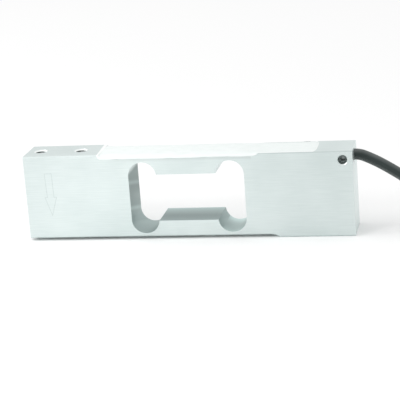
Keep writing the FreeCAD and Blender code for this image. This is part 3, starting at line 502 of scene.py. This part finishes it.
def seal_surface():
    """Silicone as closed cross-sections along the bar. Over the recess a section is a fourth-power
    ellipse: across is the square root of the cosine, height the square root of the sine. Its rim follows
    the metal: an arc at the load pad, the flat floor, then the cutter's run-out up to the pocket. All is
    worked out in millimetres."""
    x = np.concatenate([np.linspace(*stretch) for stretch in SEAL_STATIONS])
    rim = RECESS_FLOOR + arc_drop(RECESS_START + RECESS_CORNER - x, RECESS_CORNER)
    rim = rim + arc_drop(np.minimum(x - RUNOUT_START, RUNOUT_LENGTH), RUNOUT_RADIUS)
    rim = np.minimum(rim, np.where(x > 0, POCKET_RIM, PAD_RIM))
    crest = np.interp(x, *zip(*SEAL_CREST))
    half = BAR_HALF_WIDTH - (BAR_HALF_WIDTH - POCKET_HALF_WIDTH) * eased(x, 32.4, 34.0)
    half -= arc_drop(x - POCKET_END + POCKET_CORNER, POCKET_CORNER)
    turn = np.linspace(0, np.pi, 61)
    across = -signed_power(np.cos(turn), 0.5)
    height = np.sqrt(np.sin(turn).clip(0))
    y = half[:, None] * across
    z = rim[:, None] + (crest - rim)[:, None] * height
    swell = uneven(x * 0.9, 0, SEAL_SWELL) * eased(-x, -29, -24)
    y = y + np.sign(across) * (1 - height) * swell[:, None]
    hand_laid = LEVELLED_SHARE + (1 - LEVELLED_SHARE) * eased(-x, -36, -26)
    hand_laid *= eased(x, -39.5, -35.0)
    z = z + uneven(x[:, None], y, SEAL_LUMPS) * height ** 3 * hand_laid[:, None]
    foot = np.minimum(half, POCKET_HALF_WIDTH)
    low = np.where(x > POCKET_START, POCKET_FLOOR, rim - SEAL_FILM)
    step = rim - SEAL_UNDERCUT
    under = [(foot, step), (foot, low), (-foot, low), (-foot, step)]
    y = np.hstack([y] + [side[:, None] for side, _ in under])
    z = np.hstack([z] + [level[:, None] for _, level in under])
    return np.stack([np.broadcast_to(x[:, None], y.shape), y, z], axis=-1) * MM


white_silicone, tree, shader = new_finish("white_silicone", Specular_IOR_Level=0.4)
place = object_place(tree)
lumps = grain(tree, place, (180.0, 260.0, 260.0), 3.0)
skin = grain(tree, place, (1600.0, 1600.0, 1600.0))
tree.links.new(ramp(tree, lumps, (0.775, 0.825, 0.81), (0.815, 0.86, 0.85)), shader.inputs["Base Color"])
tree.links.new(between(tree, skin, 0.34, 0.52), shader.inputs["Roughness"])
relief(tree, shader, combined(tree, "ADD", lumps, combined(tree, "MULTIPLY", skin, 0.12)), 0.09 * MM)
seal = piece_from_grid("seal_coat", seal_surface(), closed_columns=True, caps=True)
seal.data.materials.append(white_silicone)
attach(seal, "root")
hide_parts("silicone_seal")

# Clamp screw: a small socket set screw in blackened steel, turned in from the front until its point
# holds the cable. Round its socket the steel is painted lighter as a painted glint.
black_oxide, tree, shader = new_finish("black_oxide", Metallic=1.0)
place = object_place(tree)
scale = grain(tree, place, (1500.0, 1500.0, 1500.0), 3.0)
seen_along = add(tree, "ShaderNodeVectorMath", {0: place, 1: (1, 0, 1)}, operation="MULTIPLY")
from_axis = distance(tree, seen_along, (SCREW_X, 0.0, SCREW_Z))
# Painted glint: round the socket the screw is painted lighter.
painted_glint = falling(tree, from_axis, 0.6 * MM, 1.2 * MM)
oxide = ramp(tree, scale, (0.055, 0.066, 0.065), (0.15, 0.17, 0.168))
tree.links.new(mixed(tree, painted_glint, oxide, (0.27, 0.30, 0.295)), shader.inputs["Base Color"])
tree.links.new(between(tree, scale, 0.26, 0.48), shader.inputs["Roughness"])
relief(tree, shader, scale, 0.010 * MM)
dress("clamp_screw", black_oxide)

# Signal cable: a round jacket in dark grey PVC over the cores, held in its bore by the clamp screw. It
# drops from the end face to the table in one bend, and the rest is wound into a flat coil in line with
# the bar, tied on its front side.
CABLE = 5.0 * MM
ROUTE = np.array([(75.0, 0.0, 35.0), (77.2, 0.0, 35.0), (80.8, -0.05, 33.6), (87.2, -0.3, 30.4),
                  (98.8, -1.4, 23.2), (110.5, -4.0, 14.4), (120.5, -6.8, 8.7), (130.0, -9.0, 7.2),
                  (139.0, -9.0, 7.2)]) * MM
ENTRY_RUN, EXIT_RUN, SIDE = 15.51 * MM, 17.85 * MM, 32.0 * MM
OUTER, INNER = 19.7 * MM, 15.0 * MM
UPPER, LOWER, EXIT_LEVEL = 7.2 * MM, 2.5 * MM, 2.8 * MM
QUARTERS = 11
STEP_IN, STEP_OUT, STEP_DOWN, STEP_UP = (1.1, 2.4), (7.1, 8.3), (4.0, 5.4), (10.0, 11.0)
END_FULLNESS = 1.0155
SLEEVE_APPROACH, SLEEVE_OVERLAP = 8.0 * MM, 1.0 * MM
coil_centre = ROUTE[-1] * (1, 1, 0) + np.array([ENTRY_RUN + SIDE / 2, OUTER, 0])


def coil_points():
    """Points of the winding by quarters: front side, right end, rear side, left end. The radius steps in
    at the first right end and out at the second left end. The height drops on the second front side and
    rises a little on the last rear side. Points on an end stand out from the round that the cable takes."""
    end_steps, side_steps = np.linspace(0, 1, 10)[:-1], np.linspace(0, 1, 4)[:-1]
    quarters = [number + (end_steps if number % 2 else side_steps) for number in range(QUARTERS)]
    quarters = np.concatenate(quarters + [[QUARTERS]])
    share = quarters % 1
    on_end = quarters.astype(int) % 2 == 1
    radius = OUTER - (OUTER - INNER) * (eased(quarters, *STEP_IN) - eased(quarters, *STEP_OUT))
    level = UPPER - (UPPER - LOWER) * eased(quarters, *STEP_DOWN)
    level = level + (EXIT_LEVEL - LOWER) * eased(quarters, *STEP_UP)
    turned = np.pi * (np.floor(quarters / 2) + np.where(on_end, share, 0)) - np.pi / 2
    along = np.where(on_end, 1, 2 * share - 1) * np.where(quarters % 4 < 2, 1, -1)
    wide = radius * np.where(on_end & (share > 0), END_FULLNESS, 1.0)
    return np.stack([coil_centre[0] + along * SIDE / 2 + wide * np.cos(turned),
                     coil_centre[1] + wide * np.sin(turned), level], axis=1)


exit_heading = np.array([-1.0, 0, 0])
sleeve_start = coil_centre + np.array([-SIDE / 2 - EXIT_RUN, OUTER, EXIT_LEVEL])
cable_points = np.vstack([ROUTE, coil_points(), sleeve_start - exit_heading * SLEEVE_APPROACH,
                          sleeve_start + exit_heading * SLEEVE_OVERLAP])
curve = bpy.data.curves.new("signal_cable", "CURVE")
curve.dimensions = "3D"
spline = curve.splines.new("NURBS")
spline.points.add(len(cable_points) - 1)
spline.points.foreach_set("co", np.hstack([cable_points, np.ones((len(cable_points), 1))]).ravel())
spline.order_u = 3
spline.use_endpoint_u = True
spline.resolution_u = 6
curve.bevel_depth = CABLE / 2
curve.bevel_resolution = 6
curve.use_fill_caps = True
cable = bpy.data.objects.new("signal_cable", curve)
bpy.context.scene.collection.objects.link(cable)

jacket, tree, shader = new_finish("jacket", Specular_IOR_Level=0.3)
place = object_place(tree)
mottle_and_sheen = grain(tree, place, (90.0, 90.0, 90.0), 3.0)
pores = grain(tree, place, (2200.0, 2200.0, 2200.0))
# Painted sheen: the upper and lower flanks of the jacket are painted lighter, in patches along it.
painted_sheen = rising(tree, apart(tree, facing_of(tree)["Z"], 0.15), 0.25, 0.65)
painted_sheen = product(tree, painted_sheen, between(tree, mottle_and_sheen, 0.45, 1.0, 0.3, 0.7))
own_jacket_tone = ramp(tree, mottle_and_sheen, (0.016, 0.026, 0.025), (0.028, 0.040, 0.038))
tree.links.new(mixed(tree, painted_sheen, own_jacket_tone, (0.115, 0.128, 0.126)), shader.inputs["Base Color"])
tree.links.new(between(tree, mottle_and_sheen, 0.26, 0.40), shader.inputs["Roughness"])
relief(tree, shader, pores, 0.012 * MM)
curve.materials.append(jacket)
dress("cable_in_bore", jacket)
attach(cable, "root")
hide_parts("cable_lead", "cable_coil")

# Coil tie: a strap of black nylon, drawn tight around the turns on the front side of the coil. Its own
# lock, a small block on top, holds it.
TIE_HALF, TIE_RISE = (4.9 * MM, 4.7 * MM), 5.2 * MM
TIE_WIDTH, TIE_THICKNESS = 4.0 * MM, 1.0 * MM
LOCK_HALF = (2.6 * MM, 2.5 * MM, 1.7 * MM)
LOCK_OUT, LOCK_LIFT = 1.5 * MM, 1.3 * MM
tie_out = np.array([0, -1.0, 0])
tie_along = np.array([1.0, 0, 0])
tie_middle = coil_centre + tie_out * (OUTER + INNER) / 2 + np.array([0, 0, TIE_RISE])


def tie_strap():
    """Strap around the coil's section: its loop is a fifth-power ellipse, cosine and sine to the power
    0.4, and its flat section has rounded edges, an eighth-power ellipse."""
    loop = np.linspace(0, 2 * np.pi, 96, endpoint=False)
    edge = np.linspace(0, 2 * np.pi, 20, endpoint=False)
    wide = signed_power(np.cos(edge), 0.25) * TIE_WIDTH / 2
    thick = signed_power(np.sin(edge), 0.25) * TIE_THICKNESS / 2
    out = signed_power(np.cos(loop), 0.4)
    up = signed_power(np.sin(loop), 0.4)
    return (tie_middle + (out[:, None] * (TIE_HALF[0] + thick))[..., None] * tie_out
            + (up[:, None] * (TIE_HALF[1] + thick))[..., None] * np.array([0, 0, 1])
            + np.broadcast_to(wide, (len(loop), len(edge)))[..., None] * tie_along)


def tie_lock():
    """Lock of the tie: a sixth-power ellipsoid, each coordinate a cosine or sine to the power one third."""
    lift = np.linspace(-np.pi / 2, np.pi / 2, 25)[1:-1]
    around = np.linspace(0, 2 * np.pi, 40, endpoint=False)
    ring = signed_power(np.cos(lift), 1 / 3)[:, None]
    x, y = ring * signed_power(np.cos(around), 1 / 3), ring * signed_power(np.sin(around), 1 / 3)
    z = np.broadcast_to(signed_power(np.sin(lift), 1 / 3)[:, None], x.shape)
    middle = tie_middle + np.array([0, 0, TIE_HALF[1] + LOCK_LIFT]) + tie_out * LOCK_OUT
    return (middle + x[..., None] * tie_out * LOCK_HALF[0] + y[..., None] * tie_along * LOCK_HALF[1]
            + z[..., None] * np.array([0, 0, LOCK_HALF[2]]))


nylon = worked_finish("nylon", (0.018, 0.018, 0.019), (0.042, 0.042, 0.044),
                      (420, 420, 420), (0.30, 0.48), 0.010 * MM)
strap = piece_from_grid("tie_strap", tie_strap(), closed_rows=True, closed_columns=True)
lock = piece_from_grid("tie_lock", tie_lock(), closed_columns=True, caps=True)
for piece in (strap, lock):
    piece.data.materials.append(nylon)
    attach(piece, "root")
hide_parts("coil_tie")

# Far end: a shrunk sleeve over the end of the jacket, and the stripped cores fanned out on the table,
# each with a tinned tip of twisted strands.
SLEEVE_RADIUS, SLEEVE_LENGTH = 2.8 * MM, 12.0 * MM
SLEEVE_BACK, SLEEVE_LIP, LIP_SHARE = 1.5 * MM, 2.52 * MM, 0.10
RING_DEPTH, RING_TURN = 0.02 * MM, 40
LEAD_LENGTH, LEAD_SPREAD, LEAD_TUCK = 18.0 * MM, 1.6 * MM, 0.4 * MM
TIP_LENGTH, STRANDS, STRAND_GROOVE, STRAND_TWIST = 5.0 * MM, 7, 0.10, 9.0
CORE_RADIUS, DRAIN_RADIUS, TIP_RADIUS, CORE_RING = 0.5 * MM, 0.3 * MM, 0.35 * MM, 1.4 * MM
LEADS = (("red", 162, -2), ("black", 234, -1), ("drain", 90, 0), ("green", 306, 1), ("white", 18, 2))
up = np.array([0, 0, 1.0])
lead_across = np.cross(up, exit_heading)


def carried_round(path, radius):
    """Round piece along a path: at each point a ring square to the path's direction, with a radius given
    for each point and turn."""
    ahead = np.gradient(path, axis=0)
    ahead /= np.linalg.norm(ahead, axis=1)[:, None]
    side = np.cross(up, ahead)
    side /= np.linalg.norm(side, axis=1)[:, None]
    rise = np.cross(ahead, side)
    turn = np.linspace(0, 2 * np.pi, radius.shape[1], endpoint=False)
    return (path[:, None, :] + (radius * np.cos(turn))[..., None] * side[:, None, :]
            + (radius * np.sin(turn))[..., None] * rise[:, None, :])


def shrunk_sleeve():
    """Sleeve of revolution: full radius, drawn in by a quarter ellipse at both ends, less a faint sine wave
    along its length, which leaves six rings."""
    run = np.linspace(-SLEEVE_BACK, SLEEVE_LENGTH, 60)
    share = (run - run[0]) / (run[-1] - run[0])
    lip = np.minimum(1, np.minimum(share, 1 - share) / LIP_SHARE)
    radius = SLEEVE_LIP + (SLEEVE_RADIUS - SLEEVE_LIP) * np.sqrt(1 - (1 - lip) ** 2)
    radius -= RING_DEPTH * (1 + np.sin(share * RING_TURN))
    path = sleeve_start + run[:, None] * exit_heading
    return carried_round(path, np.repeat(radius[:, None], 40, axis=1))


def lead_path(angle, lane):
    """Path of a lead: a parabola from its place in the bundle, straight out at first, down to the table."""
    turned = math.radians(angle)
    root = sleeve_start + exit_heading * (SLEEVE_LENGTH - LEAD_TUCK)
    root = root + lead_across * CORE_RING * math.cos(turned) + up * CORE_RING * math.sin(turned)
    ahead = root + exit_heading * LEAD_LENGTH / 2
    tip = root + exit_heading * LEAD_LENGTH + lead_across * lane * LEAD_SPREAD
    tip[2] = CORE_RADIUS
    t = np.linspace(0, 1, 32)[:, None]
    return (1 - t) ** 2 * root + 2 * t * (1 - t) * ahead + t ** 2 * tip


sleeve = piece_from_grid("shrunk_sleeve", shrunk_sleeve(), closed_columns=True, caps=True)
shrunk_tube = worked_finish("shrunk_tube", (0.014, 0.014, 0.015), (0.034, 0.034, 0.036),
                            (500, 500, 500), (0.34, 0.52), 0.020 * MM)
sleeve.data.materials.append(shrunk_tube)
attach(sleeve, "root")
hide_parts("lead_sleeve")
for colour, angle, lane in LEADS:
    path = lead_path(angle, lane)
    bare = colour == "drain"
    thickness = np.full((len(path), 20), DRAIN_RADIUS if bare else CORE_RADIUS)
    skin = carried_round(path, thickness)
    lead = piece_from_grid(f"stripped_{colour}", skin, closed_columns=True, caps=True)
    lead.data.materials.append(tinned_copper if bare else core_finish[colour])
    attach(lead, "root")
    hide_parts(f"lead_{colour}")
    if not bare:
        ahead = (path[-1] - path[-2]) / np.linalg.norm(path[-1] - path[-2])
        ahead[2] = 0
        run = np.linspace(0, 1, 40)[:, None]
        tip_path = path[-1] - up * (CORE_RADIUS - TIP_RADIUS) * run + ahead * TIP_LENGTH * run
        turn = np.linspace(0, 2 * np.pi, 28, endpoint=False)[None, :]
        strands = 1 - STRAND_GROOVE * np.abs(np.sin(STRANDS / 2 * (turn + STRAND_TWIST * run)))
        skin = carried_round(tip_path, TIP_RADIUS * strands)
        tip = piece_from_grid(f"tip_{colour}", skin, closed_columns=True, caps=True)
        tip.data.materials.append(tinned_copper)
        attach(tip, "root")
        if colour == "red":
            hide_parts("lead_tips")

# Table and light: a plain white table in a white surround, which gives most of the light. A wide lamp
# stands beyond the load end, a weak one in front of the bar and a small one over the table there.
TABLE_HALF = 5.0
SURROUND_LEVEL = 0.92
LAMP_AIM = Vector((0, 0, 0.02))
LAMPS = (("side_lamp", (-1.0, -0.1, 0.85), 0.5, 2.6), ("face_lamp", (-0.10, -0.45, 0.05), 0.16, 0.03),
         ("table_lamp", (-0.065, -0.13, 0.14), 0.08, 0.085))
floor_mesh = bpy.data.meshes.new("table")
corners = [(x * TABLE_HALF, y * TABLE_HALF, 0) for x, y in ((-1, -1), (1, -1), (1, 1), (-1, 1))]
floor_mesh.from_pydata(corners, [], [(0, 1, 2, 3)])
floor = bpy.data.objects.new("table", floor_mesh)
bpy.context.scene.collection.objects.link(floor)
table_white, tree, shader = new_finish("table_white", Base_Color=(0.985, 0.985, 0.985, 1.0), Roughness=0.9,
                                       Specular_IOR_Level=0.0)
floor_mesh.materials.append(table_white)

world = bpy.data.worlds.new("surround")
bpy.context.scene.world = world
world.use_nodes = True
tree = world.node_tree
rays = tree.nodes.new("ShaderNodeLightPath").outputs
seen = combined(tree, "MAXIMUM", rays["Is Camera Ray"], rays["Is Glossy Ray"])
seen = combined(tree, "MAXIMUM", seen, rays["Is Transmission Ray"])
background = tree.nodes["Background"]
background.inputs["Color"].default_value = (1, 1, 1, 1)
tree.links.new(between(tree, seen, SURROUND_LEVEL, 1.0), background.inputs["Strength"])

for name, where, size, power in LAMPS:
    lamp = bpy.data.lights.new(name, "AREA")
    lamp.size = size
    lamp.energy = power
    holder = bpy.data.objects.new(name, lamp)
    holder.location = where
    holder.rotation_euler = (LAMP_AIM - Vector(where)).to_track_quat("-Z", "Y").to_euler()
    bpy.context.scene.collection.objects.link(holder)

# Camera: a long lens 0.7 m from the bar, in front of it, a little above it and nearer to its cable end.
# It looks down and towards the load end, and is rolled by about four degrees.
YAW, PITCH, ROLL = math.radians(11.421), math.radians(15.821), math.radians(4.31)
EYE = (0.1397, -0.6731, 0.2098)
SENSOR = 36.0
FOCAL_LENGTH, PICTURE_WIDTH = 1566.4, 400
forward = Vector((-math.sin(YAW) * math.cos(PITCH), math.cos(YAW) * math.cos(PITCH), -math.sin(PITCH)))
level_right = Vector((math.cos(YAW), math.sin(YAW), 0))
level_down = forward.cross(level_right)
right = level_right * math.cos(ROLL) + level_down * math.sin(ROLL)
down = level_down * math.cos(ROLL) - level_right * math.sin(ROLL)
lens = bpy.data.cameras.new("photo_camera")
lens.sensor_width = SENSOR
lens.lens = SENSOR * FOCAL_LENGTH / PICTURE_WIDTH
camera = bpy.data.objects.new("photo_camera", lens)
pose = Matrix((right, -down, -forward)).transposed().to_4x4()
pose.translation = EYE
camera.matrix_world = pose
bpy.context.scene.collection.objects.link(camera)
bpy.context.scene.camera = camera
bpy.context.scene.view_settings.view_transform = "Standard"

bpy.context.view_layer.update()
